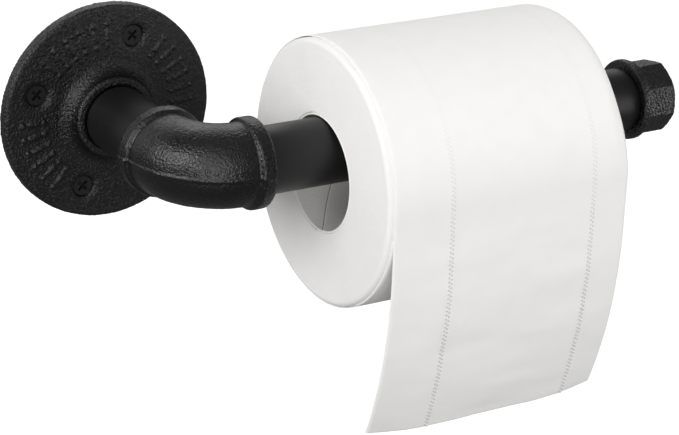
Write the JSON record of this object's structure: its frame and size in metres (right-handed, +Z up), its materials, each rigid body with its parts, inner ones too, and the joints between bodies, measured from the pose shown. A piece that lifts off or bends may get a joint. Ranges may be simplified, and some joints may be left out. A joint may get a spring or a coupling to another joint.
{
  "type": "toilet paper holder",
  "caption": "Wall-mounted toilet paper holder of black pipe fittings: round flange, nipple, elbow, straight arm and end cap, with a paper roll on the arm.",
  "frame": {"origin": "centre of the flange's back face, on the wall", "axes": "+Y into the wall, +X along the arm away from the elbow, +Z up"},
  "size_m": [0.2618, 0.1536, 0.1494],
  "materials": {
    "cast_iron_black": "rough cast, black enamel",
    "pipe_black": "smooth satin black",
    "screw_black": "black oxide, satin",
    "cardboard": "grey board, matt",
    "tissue": "soft white tissue, matt"
  },
  "bodies": {
    "holder": {"wall_flange": "cast_iron_black", "wall_screws": "screw_black", "wall_nipple": "pipe_black", "elbow": "cast_iron_black", "arm_pipe": "pipe_black", "end_cap": "cast_iron_black"},
    "sheet": {"paper_tail": "tissue"},
    "roll": {"roll_core": "cardboard", "paper_roll": "tissue"}
  },
  "joints": [
    {"name": "roll_slide", "type": "slide", "parent": "holder", "child": "sheet", "axis": [1, 0, 0], "range_m": [-0.0276, 0.0349]},
    {"name": "roll_turn", "type": "hinge", "parent": "sheet", "child": "roll", "pos_m": [0.1099, -0.0782, -0.00925], "axis": [1, 0, 0], "continuous": true}
  ]
}
